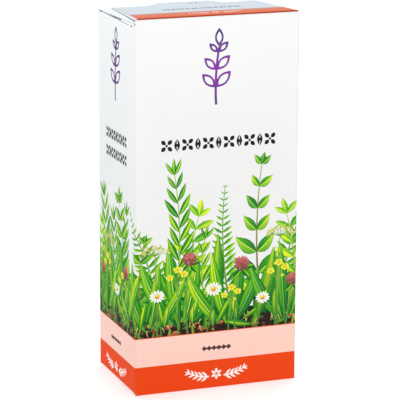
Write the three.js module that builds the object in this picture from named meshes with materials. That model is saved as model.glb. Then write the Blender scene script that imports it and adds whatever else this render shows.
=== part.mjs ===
// A folding carton for loose tea: one die-cut sheet of paperboard, creased, glued along one
// corner and at the bottom, and closed on top by a lid that tucks in behind the back wall.
// Millimetres, +Z up. The front faces -Y, and the origin is the middle of the base.
import * as THREE from "three";

// Outside of the closed carton
const WIDTH = 75;
const DEPTH = 49;
const HEIGHT = 165;
const BOARD = 0.45;

// The side walls end lower than the front, because their flaps fold in under the lid
const SIDE_TOP = 162.1;
// Gap left between a turned panel and the wall that it is creased to
const CREASE_GAP = 0.3;

// Lid: hinged on the front wall, falling a little towards the back, narrower at the back
const LID_BACK_Y = 23.7;
const LID_BACK_Z = 162.7;
const LID_INSET_FRONT = 0.5;
const LID_INSET_BACK_LEFT = 6.1;
const LID_INSET_BACK_RIGHT = 1.8;
// The lid's back fold stands up along its middle, steeply on the left and gently on the right
const SWELL_HEIGHT = 0.9;
const SWELL_LEFT = -13;
const SWELL_CREST = -10;
const SWELL_RIGHT = 18;
const SWELL_REACH = 17;

// Tuck flap: folded down inside the back wall, leaning in so that it clears the wall
const TUCK_HALF_WIDTH = 34.2;
const TUCK_LENGTH = 13.7;
const TUCK_LEAN = THREE.MathUtils.degToRad(16);
const TUCK_CORNER = 6;

// Dust flaps: folded in from the side walls, slanted on the lid's side
const DUST_LENGTH = 30;
const DUST_START = 0.1;
const DUST_SAG = THREE.MathUtils.degToRad(3);
const DUST_FRONT_Y = -23;
const DUST_SLANT_Y = -7.5;
const DUST_BACK_Y = 20.5;
const DUST_BACK_TAPER = 2;

// Glued bottom and the seam along one corner
const BOTTOM_INNER_LENGTH = 38;
const BOTTOM_DUST_LENGTH = 30;
const BOTTOM_DUST_HALF_DEPTH = 22.5;
const BOTTOM_DUST_SLANT = 8;
const BOTTOM_SIDE_GAP = 0.3;
const SEAM_WIDTH = 13;
const SEAM_LOW_Z = 8;
const SEAM_HIGH_Z = 145;
const SEAM_SLANT = 5;

const outerX = WIDTH / 2;
const outerY = DEPTH / 2;
const innerX = outerX - BOARD;
const innerY = outerY - BOARD;

const printedBoard = new THREE.MeshStandardMaterial({ color: 0xf7f5f2, roughness: 0.45, metalness: 0 });
const bareBoard = new THREE.MeshStandardMaterial({ color: 0xd9d2c6, roughness: 0.85, metalness: 0 });

const carton = new THREE.Group();

function add(name, geometry, material, parent = carton) {
  const mesh = new THREE.Mesh(geometry, material);
  mesh.name = name;
  parent.add(mesh);
  return mesh;
}

// A flat panel square to the carton, from its low corner to its high corner
function addPanel(name, material, low, high) {
  const size = high.map((value, i) => value - low[i]);
  const mesh = add(name, new THREE.BoxGeometry(...size), material);
  mesh.position.set(...low.map((value, i) => value + size[i] / 2));
  return mesh;
}

// A flap cut to an outline, one board thick
function flapGeometry(points) {
  const outline = new THREE.Shape(points.map(([x, y]) => new THREE.Vector2(x, y)));
  return new THREE.ExtrudeGeometry(outline, { depth: BOARD, bevelEnabled: false });
}

// The four walls
function addWalls() {
  const frontTop = HEIGHT - BOARD - CREASE_GAP;
  const sideTop = SIDE_TOP - BOARD - CREASE_GAP;
  addPanel("front_panel", printedBoard, [-outerX, -outerY, 0], [outerX, -innerY, frontTop]);
  addPanel("back_panel", printedBoard, [-outerX, innerY, BOARD], [outerX, outerY, SIDE_TOP]);
  addPanel("left_panel", printedBoard, [-outerX, -innerY, 2 * BOARD], [-innerX, innerY, sideTop]);
  addPanel("right_panel", printedBoard, [innerX, -innerY, 2 * BOARD], [outerX, innerY, sideTop]);
}

// The seam flap comes off the back wall and is glued inside the right wall
function addSeam() {
  const outline = [
    [innerY - SEAM_WIDTH, SEAM_LOW_Z + SEAM_SLANT],
    [innerY, SEAM_LOW_Z],
    [innerY, SEAM_HIGH_Z],
    [innerY - SEAM_WIDTH, SEAM_HIGH_Z - SEAM_SLANT],
  ];
  const [alongX, alongY, alongZ] = [[1, 0, 0], [0, 1, 0], [0, 0, 1]].map((v) => new THREE.Vector3(...v));
  const seam = add("glue_flap", flapGeometry(outline), bareBoard);
  seam.quaternion.setFromRotationMatrix(new THREE.Matrix4().makeBasis(alongY, alongZ, alongX));
  seam.position.x = innerX - BOARD;
}

// Four bottom flaps, glued in three layers: the outer flap lies on the table
function addBottom() {
  const sideX = outerX - BOTTOM_SIDE_GAP;
  addPanel("bottom_outer_flap", printedBoard, [-sideX, -innerY, 0], [sideX, outerY, BOARD]);
  addPanel(
    "bottom_inner_flap",
    bareBoard,
    [-sideX, innerY - BOTTOM_INNER_LENGTH, BOARD],
    [sideX, innerY, 2 * BOARD],
  );
  for (const [name, side] of [["bottom_dust_flap_left", -1], ["bottom_dust_flap_right", 1]]) {
    const points = [
      [side * innerX, -BOTTOM_DUST_HALF_DEPTH],
      [side * (innerX - BOTTOM_DUST_LENGTH), -BOTTOM_DUST_HALF_DEPTH + BOTTOM_DUST_SLANT],
      [side * (innerX - BOTTOM_DUST_LENGTH), BOTTOM_DUST_HALF_DEPTH - BOTTOM_DUST_SLANT],
      [side * innerX, BOTTOM_DUST_HALF_DEPTH],
    ];
    add(name, flapGeometry(points), bareBoard).position.z = 2 * BOARD;
  }
}

// Height of the swell in the lid, which is full at the back fold and fades towards the front
function swellAt(x, y) {
  const rise = THREE.MathUtils.smoothstep(x, SWELL_LEFT, SWELL_CREST);
  const fall = 1 - THREE.MathUtils.clamp((x - SWELL_CREST) / (SWELL_RIGHT - SWELL_CREST), 0, 1);
  const reach = THREE.MathUtils.smoothstep(y, LID_BACK_Y - SWELL_REACH, LID_BACK_Y);
  return SWELL_HEIGHT * rise * fall * reach;
}

// The lid is a grid of points on its upper face, with a second grid one board below it
function lidGeometry() {
  const columns = 36;
  const rows = 10;
  const positions = [];
  for (const drop of [0, BOARD]) {
    for (let row = 0; row <= rows; row++) {
      const along = row / rows;
      const left = -outerX + THREE.MathUtils.lerp(LID_INSET_FRONT, LID_INSET_BACK_LEFT, along);
      const right = outerX - THREE.MathUtils.lerp(LID_INSET_FRONT, LID_INSET_BACK_RIGHT, along);
      const y = THREE.MathUtils.lerp(-outerY, LID_BACK_Y, along);
      const z = THREE.MathUtils.lerp(HEIGHT, LID_BACK_Z, along) - drop;
      for (let column = 0; column <= columns; column++) {
        const x = THREE.MathUtils.lerp(left, right, column / columns);
        positions.push(x, y, z + swellAt(x, y));
      }
    }
  }
  const perRow = columns + 1;
  const below = perRow * (rows + 1);
  const at = (row, column) => row * perRow + column;
  const indices = [];
  for (let row = 0; row < rows; row++) {
    for (let column = 0; column < columns; column++) {
      const [a, b] = [at(row, column), at(row, column + 1)];
      const [c, d] = [at(row + 1, column + 1), at(row + 1, column)];
      indices.push(a, b, c, a, c, d);
      indices.push(below + a, below + c, below + b, below + a, below + d, below + c);
    }
  }
  // The cut edge goes once round the border, seen anticlockwise from above
  const border = [];
  for (let column = 0; column < columns; column++) border.push(at(0, column));
  for (let row = 0; row < rows; row++) border.push(at(row, columns));
  for (let column = columns; column > 0; column--) border.push(at(rows, column));
  for (let row = rows; row > 0; row--) border.push(at(row, 0));
  border.forEach((a, i) => {
    const b = border[(i + 1) % border.length];
    indices.push(a, below + a, below + b, a, below + b, b);
  });
  const geometry = new THREE.BufferGeometry();
  geometry.setAttribute("position", new THREE.Float32BufferAttribute(positions, 3));
  geometry.setIndex(indices);
  geometry.computeVertexNormals();
  return geometry;
}

// The tuck flap has its lower corners rounded off so that it slides in easily
function addTuckFlap() {
  const outline = new THREE.Shape();
  outline.moveTo(-TUCK_HALF_WIDTH, 0);
  outline.lineTo(-TUCK_HALF_WIDTH, -TUCK_LENGTH + TUCK_CORNER);
  outline.quadraticCurveTo(-TUCK_HALF_WIDTH, -TUCK_LENGTH, -TUCK_HALF_WIDTH + TUCK_CORNER, -TUCK_LENGTH);
  outline.lineTo(TUCK_HALF_WIDTH - TUCK_CORNER, -TUCK_LENGTH);
  outline.quadraticCurveTo(TUCK_HALF_WIDTH, -TUCK_LENGTH, TUCK_HALF_WIDTH, -TUCK_LENGTH + TUCK_CORNER);
  outline.lineTo(TUCK_HALF_WIDTH, 0);
  const shape = { depth: BOARD, bevelEnabled: false, curveSegments: 6 };
  const flap = add("tuck_flap", new THREE.ExtrudeGeometry(outline, shape), printedBoard);
  flap.rotation.x = Math.PI / 2 - TUCK_LEAN;
  flap.position.set(0, LID_BACK_Y, LID_BACK_Z - BOARD - CREASE_GAP);
}

// The two dust flaps mirror each other
function addDustFlaps() {
  for (const [name, side] of [["dust_flap_left", -1], ["dust_flap_right", 1]]) {
    const hinge = new THREE.Group();
    hinge.position.set(side * outerX, 0, SIDE_TOP);
    hinge.rotation.y = side * -DUST_SAG;
    carton.add(hinge);
    const points = [
      [-side * DUST_START, DUST_FRONT_Y],
      [-side * DUST_LENGTH, DUST_SLANT_Y],
      [-side * DUST_LENGTH, DUST_BACK_Y - DUST_BACK_TAPER],
      [-side * DUST_START, DUST_BACK_Y],
    ];
    add(name, flapGeometry(points), bareBoard, hinge).position.z = -BOARD;
  }
}

addWalls();
addSeam();
addBottom();
add("lid_panel", lidGeometry(), printedBoard);
addTuckFlap();
addDustFlaps();

export default carton;
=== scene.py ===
# A printed folding carton for loose tea, standing closed. The real one is a single sheet of coated
# board, cut, printed flat, creased and glued. So each piece here is a panel of that sheet: its
# outline and its printing are laid out flat, in millimetres of sheet, and then folded into place.
import math
import random
from collections import namedtuple

import bpy
from mathutils import Matrix, Vector
from mathutils.geometry import delaunay_2d_cdt


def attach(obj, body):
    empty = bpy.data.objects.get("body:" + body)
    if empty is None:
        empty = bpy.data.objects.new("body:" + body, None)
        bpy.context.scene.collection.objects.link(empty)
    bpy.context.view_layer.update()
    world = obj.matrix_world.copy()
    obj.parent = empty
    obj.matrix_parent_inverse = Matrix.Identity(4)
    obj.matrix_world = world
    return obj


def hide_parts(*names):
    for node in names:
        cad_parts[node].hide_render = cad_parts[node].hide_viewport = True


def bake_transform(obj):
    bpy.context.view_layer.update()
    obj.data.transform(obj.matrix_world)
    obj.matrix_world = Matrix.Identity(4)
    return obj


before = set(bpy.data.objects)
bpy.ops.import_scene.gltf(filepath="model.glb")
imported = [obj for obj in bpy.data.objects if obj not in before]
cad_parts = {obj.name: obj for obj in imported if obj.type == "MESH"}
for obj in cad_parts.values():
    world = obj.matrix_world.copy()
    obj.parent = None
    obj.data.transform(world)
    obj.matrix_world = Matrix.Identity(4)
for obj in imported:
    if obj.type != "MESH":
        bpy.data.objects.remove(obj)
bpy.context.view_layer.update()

# The camera stands in front of the carton, to its left and a little above it, with a long lens.
# Its place was worked out from the carton's corners in the photograph.
CAMERA_PLACE = (-0.3353, -0.9023, 0.3128)
CAMERA_TURN = 20.46
CAMERA_DIP = 13.65
CAMERA_ROLL = 0.23
CAMERA_LENS = 202.3
CAMERA_SIGHT = 20


def stand(name, data):
    """A new object in the scene."""
    item = bpy.data.objects.new(name, data)
    bpy.context.collection.objects.link(item)
    return item


camera = stand("camera", bpy.data.cameras.new("camera"))
camera.data.lens = CAMERA_LENS
camera.data.clip_end = CAMERA_SIGHT
camera.matrix_world = (
    Matrix.Translation(CAMERA_PLACE)
    @ Matrix.Rotation(math.radians(-CAMERA_TURN), 4, "Z")
    @ Matrix.Rotation(math.radians(90 - CAMERA_DIP), 4, "X")
    @ Matrix.Rotation(math.radians(CAMERA_ROLL), 4, "Z")
)
bpy.context.scene.camera = camera

# The studio: a wide table in matt white lacquer, in a pale room. Square lamps with soft white light
# stand in front of the carton, at its left and above it.
TABLE_SIZE = 24.0
TABLE_WHITE = (0.80, 0.80, 0.80, 1)
TABLE_MOTTLE = (0.788, 0.788, 0.788, 1)
TABLE_GLOW = (0.435, 0.43, 0.415, 1)
TABLE_ROUGHNESS = 0.8
ROOM_LIGHT = (0.86, 0.94, 1.0, 1)
ROOM_STRENGTH = 0.58
LAMP_AIM = (0, 0, 0.08)
LAMPS = (
    ("front_lamp", (0.25, -1.7, 0.75), 1.3, 8.0, (1.0, 0.905, 0.86)),
    ("left_lamp", (-1.6, -0.35, 0.7), 1.2, 5.9, (0.97, 0.98, 1.0)),
    ("top_lamp", (0.2, 0.5, 1.7), 1.2, 11.0, (0.93, 0.965, 1.0)),
)


def link_to(tree, node, values):
    """Sets a node's inputs: an output is linked, and anything else is the input's own value."""
    for key, value in values.items():
        if isinstance(value, bpy.types.NodeSocket):
            tree.links.new(value, node.inputs[key])
        else:
            node.inputs[key].default_value = value


def add_node(tree, kind, settings=None, values=None):
    """A node with its settings, and with its inputs given or linked."""
    node = tree.nodes.new(kind)
    for key, value in (settings or {}).items():
        setattr(node, key, value)
    link_to(tree, node, values or {})
    return node


def noise(tree, place, scale, detail):
    """Soft random grey from 0 to 1, finer as its scale grows."""
    values = {"Vector": place, "Scale": scale, "Detail": detail}
    return add_node(tree, "ShaderNodeTexNoise", values=values).outputs["Fac"]


def mixed(tree, share, first, second, blend="MIX"):
    """A second colour laid over a first one, by a share from 0 to 1."""
    settings = {"data_type": "RGBA", "blend_type": blend}
    return add_node(tree, "ShaderNodeMix", settings, {0: share, 6: first, 7: second}).outputs[2]


def start_material(name):
    """A new material, its node tree, its shader and the place on the piece."""
    material = bpy.data.materials.new(name)
    material.use_nodes = True
    tree = material.node_tree
    place = add_node(tree, "ShaderNodeTexCoord").outputs["Object"]
    return material, tree, tree.nodes["Principled BSDF"], place


def table_paint():
    """Matt white lacquer with a very faint mottle."""
    material, tree, shader, place = start_material("white_table")
    mottled = mixed(tree, noise(tree, place, scale=6.0, detail=3.0), TABLE_WHITE, TABLE_MOTTLE)
    link_to(tree, shader, {
        "Base Color": mottled, "Roughness": TABLE_ROUGHNESS,
        "Emission Color": TABLE_GLOW, "Emission Strength": 1.0,
    })
    return material


table_mesh = bpy.data.meshes.new("table")
half_table = TABLE_SIZE / 2
table_corners = [(x * half_table, y * half_table, 0) for x, y in ((-1, -1), (1, -1), (1, 1), (-1, 1))]
table_mesh.from_pydata(table_corners, [], [(0, 1, 2, 3)])
table_mesh.materials.append(table_paint())
table = stand("table", table_mesh)

world = bpy.data.worlds.new("room")
world.use_nodes = True
world.node_tree.nodes["Background"].inputs["Color"].default_value = ROOM_LIGHT
world.node_tree.nodes["Background"].inputs["Strength"].default_value = ROOM_STRENGTH
bpy.context.scene.world = world
bpy.context.scene.view_settings.view_transform = "Standard"

for lamp_name, lamp_place, lamp_size, lamp_power, lamp_colour in LAMPS:
    lamp = bpy.data.lights.new(lamp_name, "AREA")
    lamp.shape = "SQUARE"
    lamp.size = lamp_size
    lamp.energy = lamp_power
    lamp.color = lamp_colour
    lamp_object = stand(lamp_name, lamp)
    lamp_object.location = lamp_place
    aim = Vector(LAMP_AIM) - Vector(lamp_place)
    lamp_object.rotation_euler = aim.to_track_quat("-Z", "Y").to_euler()

# The bottom: three layers of flaps, glued flat. They are the same 0.45 mm carton board as all the
# rest: clay-coated white, printed and varnished outside, and bare and greyish inside. Each panel
# is cut and printed as a flat sheet, in millimetres, and then folded along its creases.
MM = 0.001
BOARD = 0.45
BEND = 0.7
BEND_STEPS = 6
BEND_MARGIN = 0.3
ARC = BEND * math.pi / 2
SHARP_TURN = 35
HALF_WIDTH = 37.5
HALF_DEPTH = 24.5
WALL_STRIP = 0.6
BOTTOM_HALF_WIDTH = 36.6
BOTTOM_OUTER_LENGTH = 47.9
BOTTOM_INNER_LENGTH = 37.7
BOTTOM_INNER_CUT = 12.0
BOTTOM_DUST_LENGTH = 29.7
BOTTOM_DUST_HALF_WIDTH = 22.5
BOTTOM_DUST_SLANT = 8.0

PAPER = (247, 246, 243)
ORANGE = (236, 68, 2)
BLEED = 3.0
PRINT_REACH = 40
THIN_INK = (0.9, 0.9, 0.88, 1)
BEND_PAINTED_SHADE = (0.93, 0.93, 0.93, 1)
CRACKED_COAT = (0.86, 0.84, 0.80, 1)
VARNISH_GLOSS = 0.15
BARE_DARK, BARE_LIGHT = (0.62, 0.575, 0.49, 1), (0.74, 0.70, 0.62, 1)
BARE_SPECK = (0.34, 0.29, 0.23, 1)
BARE_ROUGHNESS = 0.9
EDGE_LAYERS = ((0.1, (0.93, 0.93, 0.92, 1)), (0.3, (0.80, 0.795, 0.78, 1)), (0.9, (0.82, 0.81, 0.79, 1)))
EDGE_ROUGHNESS = 0.95


class FoldedSheet:
    """A strip of board folded away from its printed face. A point of the flat sheet is a distance
    along the strip and a place across it. A part is a straight run's length, or (degrees, radius)."""

    def __init__(self, start, along, outward, *parts, begin=0.0):
        place, along, outward = Vector(start), Vector(along), Vector(outward)
        self.across = outward.cross(along)
        self.runs = []
        self.marks = []
        self.bends = []
        reached = begin
        for part in parts:
            turn, radius = part if isinstance(part, tuple) else (0.0, 0.0)
            turn = math.radians(turn)
            length = turn * radius if radius else part
            self.runs.append((reached, place, along, outward, radius))
            if radius:
                self.bends.append((reached, reached + length))
                steps = [reached + length * k / BEND_STEPS for k in range(BEND_STEPS + 1)]
                self.marks += [reached - BEND_MARGIN, *steps, reached + length + BEND_MARGIN]
                centre = place - outward * radius
                along, outward = (
                    along * math.cos(turn) - outward * math.sin(turn),
                    outward * math.cos(turn) + along * math.sin(turn),
                )
                place = centre + outward * radius
            else:
                place = place + along * length
            reached += length
        self.end = reached

    def at(self, distance, across, depth):
        """A point's place in space, at a depth under the printed face."""
        run = self.runs[0]
        for later in self.runs[1:]:
            if later[0] <= distance + 1e-6:
                run = later
        start, place, along, outward, radius = run
        step = distance - start
        spot = place + self.across * across - outward * depth
        if not radius:
            return spot + along * step
        turn = step / radius
        facing = outward * math.cos(turn) + along * math.sin(turn)
        return place + self.across * across + (facing - outward) * radius - facing * depth

    def bend_nearness(self, distance):
        """How near a distance is to a bend: 1 on it, 0 beyond its margin."""
        gaps = [max(low - distance, distance - high, 0) for low, high in self.bends]
        return max(0.0, 1 - min(gaps) / BEND_MARGIN) if gaps else 0.0


def attribute(tree, name):
    """What board_piece stores on a mesh: its ink, how bent it is, or how deep under the print."""
    return add_node(tree, "ShaderNodeAttribute", {"attribute_name": name}).outputs


def maths(tree, operation, *values):
    return add_node(tree, "ShaderNodeMath", {"operation": operation}, dict(enumerate(values))).outputs[0]


def ranged(tree, value, old, new):
    """A value carried from one range, a low and a high end, to another."""
    names = ("Value", "From Min", "From Max", "To Min", "To Max")
    values = dict(zip(names, (value, *old, *new)))
    return add_node(tree, "ShaderNodeMapRange", values=values).outputs["Result"]


def relief(tree, height, strength, distance, under=None):
    """Small bumps, which may lie on larger ones."""
    values = {"Height": height, "Strength": strength, "Distance": distance}
    if under:
        values["Normal"] = under
    return add_node(tree, "ShaderNodeBump", values=values).outputs["Normal"]


def printed_face():
    """Clay coat, offset inks and a dull varnish, with a breath of fibre under them, a painted shade
    that darkens the colour on the bends, and small cracks of white where the board is bent."""
    material, tree, shader, place = start_material("printed_face")
    bent = attribute(tree, "bent")["Fac"]
    density = noise(tree, place, scale=900.0, detail=2.0)
    thinned = ranged(tree, density, (0.35, 0.65), (0.0, 0.006))
    mottled = mixed(tree, thinned, attribute(tree, "ink")["Color"], THIN_INK)
    # Painted shade: the ink is darkened where the board is bent, to dim the bright line the bends catch
    bend_shaded = mixed(tree, bent, mottled, BEND_PAINTED_SHADE, "MULTIPLY")
    cracks = maths(tree, "MULTIPLY", noise(tree, place, scale=1400.0, detail=4.0), bent)
    cracked = mixed(tree, ranged(tree, cracks, (0.58, 0.74), (0.0, 0.2)), bend_shaded, CRACKED_COAT)
    fibre = relief(tree, noise(tree, place, scale=2600.0, detail=3.0), 0.25, 0.02 * MM)
    bow = relief(tree, noise(tree, place, scale=22.0, detail=1.0), 0.5, 0.6 * MM, fibre)
    link_to(tree, shader, {
        "Base Color": cracked, "Roughness": ranged(tree, density, (0.0, 1.0), (0.66, 0.78)),
        "Normal": bow, "Specular IOR Level": VARNISH_GLOSS,
    })
    return material


def bare_face():
    """The uncoated inside of the board: grey-white, matt, with fine fibres and specks."""
    material, tree, shader, place = start_material("bare_face")
    clouded = mixed(tree, noise(tree, place, scale=260.0, detail=5.0), BARE_DARK, BARE_LIGHT)
    speck = add_node(tree, "ShaderNodeTexVoronoi", values={"Vector": place, "Scale": 700.0})
    spot = ranged(tree, speck.outputs["Distance"], (0.08, 0.14), (0.45, 0.0))
    fibre = relief(tree, noise(tree, place, scale=1500.0, detail=4.0), 0.4, 0.04 * MM)
    link_to(tree, shader, {
        "Base Color": mixed(tree, spot, clouded, BARE_SPECK), "Roughness": BARE_ROUGHNESS, "Normal": fibre,
    })
    return material


def cut_edge():
    """The board's own layers, seen where it is cut: white coat, grey pulp, pale back."""
    material, tree, shader, place = start_material("cut_edge")
    layers = add_node(tree, "ShaderNodeValToRGB", values={"Fac": attribute(tree, "under")["Fac"]})
    stops = layers.color_ramp.elements
    stops.new(EDGE_LAYERS[1][0])
    for stop, (depth, colour) in zip(stops, EDGE_LAYERS):
        stop.position, stop.color = depth, colour
    rough = relief(tree, noise(tree, place, scale=3000.0, detail=3.0), 0.5, 0.05 * MM)
    link_to(tree, shader, {
        "Base Color": layers.outputs["Color"], "Roughness": EDGE_ROUGHNESS, "Normal": rough,
    })
    return material


BOARD_FACES = (printed_face(), bare_face(), cut_edge())
FACE, BACK, EDGE = range(3)
Inked = namedtuple("Inked", "outline first second start end")
KEEP_INSIDE = 1
SAME_POINT = 1e-4


def ink(outline, first, second=None, start=None, end=None):
    """A shape of one ink, or one that runs from a first colour at start to a second at end."""
    points = [Vector(p) for p in outline]
    area = sum(a.x * b.y - b.x * a.y for a, b in zip(points, points[1:] + points[:1]))
    start, end = start and Vector(start), end and Vector(end)
    return Inked(points if area > 0 else points[::-1], first, second or first, start, end)


def between(first, second, share):
    """A colour on the way from a first one to a second one."""
    return [a + (b - a) * share for a, b in zip(first, second)]


def ink_at(shape, point):
    """The colour of an inked shape at one of its points, from 0 to 1."""
    share = 0.0
    if shape.end is not None:
        axis = shape.end - shape.start
        share = max(0.0, min(1.0, (point - shape.start).dot(axis) / max(axis.length_squared, 1e-9)))
    return [value / 255 for value in between(shape.first, shape.second, share)]


def covers(shape, point):
    """Whether a point lies inside an inked shape: a line from it crosses the outline an odd number
    of times."""
    x, y = point
    inside = False
    last_x, last_y = shape.outline[-1]
    for next_x, next_y in shape.outline:
        if (last_y > y) != (next_y > y):
            crossing = last_x + (next_x - last_x) * (y - last_y) / (next_y - last_y)
            if x < crossing:
                inside = not inside
        last_x, last_y = next_x, next_y
    return inside


def triangulated(points, lines, areas):
    """The flat sheet in triangles that follow the outlines of its areas and the lines across it."""
    pairs = [(len(points) + 2 * k, len(points) + 2 * k + 1) for k in range(len(lines))]
    ends = [Vector(p) for line in lines for p in line]
    return delaunay_2d_cdt(points + ends, pairs, areas, KEEP_INSIDE, SAME_POINT, True)


def walk_border(triangles):
    """The border of a sheet of triangles, as its corners in order."""
    sides = {(t[k], t[(k + 1) % 3]) for t in triangles for k in range(3)}
    follows = {a: b for a, b in sides if (b, a) not in sides}
    first = min(follows)
    border = [first]
    while follows[border[-1]] != first:
        border.append(follows[border[-1]])
    return border


def board_piece(name, sheet, outline, printing=(), scores=(), lift=None, stands_for=()):
    """Cuts a piece of board to an outline, prints it and folds it. Scores are more lines where
    the sheet bends, and lift is what is added to the height of a point of the flat sheet."""
    # The flat face in triangles, each inked by the topmost shape that covers it
    points = [Vector(p) for p in outline]
    areas = [list(range(len(points)))]
    low, high = [[pick(p[k] for p in outline) for k in (0, 1)] for pick in (min, max)]
    shapes = [None]
    for shape in printing:
        us, vs = [p.x for p in shape.outline], [p.y for p in shape.outline]
        if max(us) > low[0] and min(us) < high[0] and max(vs) > low[1] and min(vs) < high[1]:
            areas.append(list(range(len(points), len(points) + len(us))))
            points += shape.outline
            shapes.append(shape)
    lines = [((m, low[1] - 1), (m, high[1] + 1)) for m in sheet.marks if low[0] < m < high[0]]
    lines += scores
    flat, _, triangles, _, _, owners = triangulated(points, lines, areas)

    def topmost(triangle, shapes_here):
        middle = sum((flat[corner] for corner in triangle), Vector((0, 0))) / 3
        for owner in sorted(shapes_here, reverse=True):
            if owner == 0 or covers(shapes[owner], middle):
                return owner

    kept = [(tuple(t), topmost(t, o)) for t, o in zip(triangles, owners) if 0 in o]
    used = sorted({corner for t, _ in kept for corner in t})
    number = {corner: k for k, corner in enumerate(used)}
    corners = [flat[corner] for corner in used]
    face = [tuple(number[corner] for corner in t) for t, _ in kept]

    # The face folded into place, and the cut edge round it
    def fold(point, depth):
        spot = sheet.at(point.x, point.y, depth)
        if lift:
            spot.z += lift(point.x, point.y)
        return spot * MM

    vertices = [fold(p, 0) for p in corners]
    bent = [sheet.bend_nearness(p.x) for p in corners]
    border = walk_border(face)
    below = {corner: len(vertices) + k for k, corner in enumerate(border)}
    vertices += [fold(corners[corner], BOARD) for corner in border]
    rim = [(b, a, below[a], below[b]) for a, b in zip(border, border[1:] + border[:1])]

    # The bare back, in triangles of its own that share the cut edge
    ring = [corners[corner] for corner in border]
    plan, _, back, origins, _, owners = triangulated(ring, lines, [list(range(len(ring)))])
    lower = {}
    inside = []
    for t in [t for t, o in zip(back, owners) if 0 in o]:
        for corner in t:
            known = [k for k in origins[corner] if k < len(ring)]
            if corner not in lower and known:
                lower[corner] = below[border[known[0]]]
            elif corner not in lower:
                lower[corner] = len(vertices)
                vertices.append(fold(plan[corner], BOARD))
        inside.append(tuple(lower[corner] for corner in reversed(t)))

    # The mesh, with its inks, its nearness to the bends (for wear cracks and painted bend shade) and its
    # depth under the print
    mesh = bpy.data.meshes.new(name)
    mesh.from_pydata(vertices, [], face + rim + inside)
    for material in BOARD_FACES:
        mesh.materials.append(material)
    kinds = [FACE] * len(face) + [EDGE] * len(rim) + [BACK] * len(inside)
    mesh.polygons.foreach_set("material_index", kinds)
    mesh.polygons.foreach_set("use_smooth", [kind != EDGE for kind in kinds])
    blank = [c / 255 for c in PAPER] + [1.0]
    colours = []
    for (t, owner), numbers in zip(kept, face):
        for corner in numbers:
            colours += [*ink_at(shapes[owner], corners[corner]), 1.0] if owner else blank
    colours += blank * (len(mesh.loops) - len(colours) // 4)
    mesh.color_attributes.new("ink", "BYTE_COLOR", "CORNER").data.foreach_set("color_srgb", colours)
    bent += [0.0] * (len(vertices) - len(bent))
    under = [0.0] * len(corners) + [1.0] * (len(vertices) - len(corners))
    mesh.attributes.new("bent", "FLOAT", "POINT").data.foreach_set("value", bent)
    mesh.attributes.new("under", "FLOAT", "POINT").data.foreach_set("value", under)
    mesh.set_sharp_from_angle(angle=math.radians(SHARP_TURN))
    piece = stand(name, mesh)
    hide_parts(*stands_for)
    return piece


def rectangle(low_u, low_v, high_u, high_v):
    """The four corners of a rectangle on the flat sheet."""
    return [(low_u, low_v), (high_u, low_v), (high_u, high_v), (low_u, high_v)]


outer_sheet = FoldedSheet(
    (0, -HALF_DEPTH, BEND + WALL_STRIP), (0, 0, -1), (0, -1, 0), WALL_STRIP, (90, BEND), BOTTOM_OUTER_LENGTH,
)
outer_outline = rectangle(0, -BOTTOM_HALF_WIDTH, outer_sheet.end, BOTTOM_HALF_WIDTH)
orange_turn = ink(rectangle(-1, -PRINT_REACH, WALL_STRIP + ARC + BLEED, PRINT_REACH), ORANGE)
bottom_outer = board_piece(
    "bottom_outer", outer_sheet, outer_outline, [orange_turn], stands_for=["bottom_outer_flap"]
)
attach(bottom_outer, "carton")

inner_sheet = FoldedSheet(
    (0, HALF_DEPTH, BOARD + BEND + WALL_STRIP), (0, 0, -1), (0, 1, 0),
    WALL_STRIP, (90, BEND), BOTTOM_INNER_LENGTH,
)
inner_cut_start = inner_sheet.end - BOTTOM_INNER_CUT
inner_cut_end = BOTTOM_HALF_WIDTH - BOTTOM_INNER_CUT / 2
inner_outline = [
    (0, -BOTTOM_HALF_WIDTH), (inner_cut_start, -BOTTOM_HALF_WIDTH), (inner_sheet.end, -inner_cut_end),
    (inner_sheet.end, inner_cut_end), (inner_cut_start, BOTTOM_HALF_WIDTH), (0, BOTTOM_HALF_WIDTH),
]
bottom_inner = board_piece(
    "bottom_inner", inner_sheet, inner_outline, [orange_turn], stands_for=["bottom_inner_flap"]
)
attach(bottom_inner, "carton")

for side_name, side in (("left", -1), ("right", 1)):
    dust_sheet = FoldedSheet(
        (side * HALF_WIDTH, 0, 2 * BOARD + BEND + WALL_STRIP), (0, 0, -1), (side, 0, 0),
        WALL_STRIP, (90, BEND), BOTTOM_DUST_LENGTH,
    )
    dust_end = dust_sheet.end
    slanted = BOTTOM_DUST_HALF_WIDTH - BOTTOM_DUST_SLANT
    dust_outline = [
        (0, -BOTTOM_DUST_HALF_WIDTH), (WALL_STRIP + ARC, -BOTTOM_DUST_HALF_WIDTH), (dust_end, -slanted),
        (dust_end, slanted), (WALL_STRIP + ARC, BOTTOM_DUST_HALF_WIDTH), (0, BOTTOM_DUST_HALF_WIDTH),
    ]
    bottom_dust = board_piece(
        f"bottom_dust_{side_name}", dust_sheet, dust_outline, [orange_turn],
        stands_for=[f"bottom_dust_flap_{side_name}"],
    )
    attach(bottom_dust, "carton")

# The front wall: the carton's printed face, with the bends to the side walls at both of its
# edges. The print runs right round the carton, so all of it is laid out here, on the flat sheet:
# u is measured round the walls from the front left corner, and v up from the bottom edge.
FRONT_SPAN = 2 * HALF_WIDTH - 2 * BEND + ARC
SIDE_SPAN = 2 * HALF_DEPTH - 2 * BEND + ARC
BACK_SPAN = 2 * HALF_WIDTH - BOARD - 2 * BEND + ARC
GLUE_WIDTH = 13.0
RIGHT_END = 0.15
WALL_SEAM = 1.4
FRONT_TOP = 163.4
SIDE_TOP = 162.1
SIDE_CREASE = SIDE_TOP - 1.1
CORNER_CUT = 0.5
CORNER_LOW = 162.2
CORNER_OUT = 0.55
FOOT_CUT = CORNER_CUT + 0.2

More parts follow.
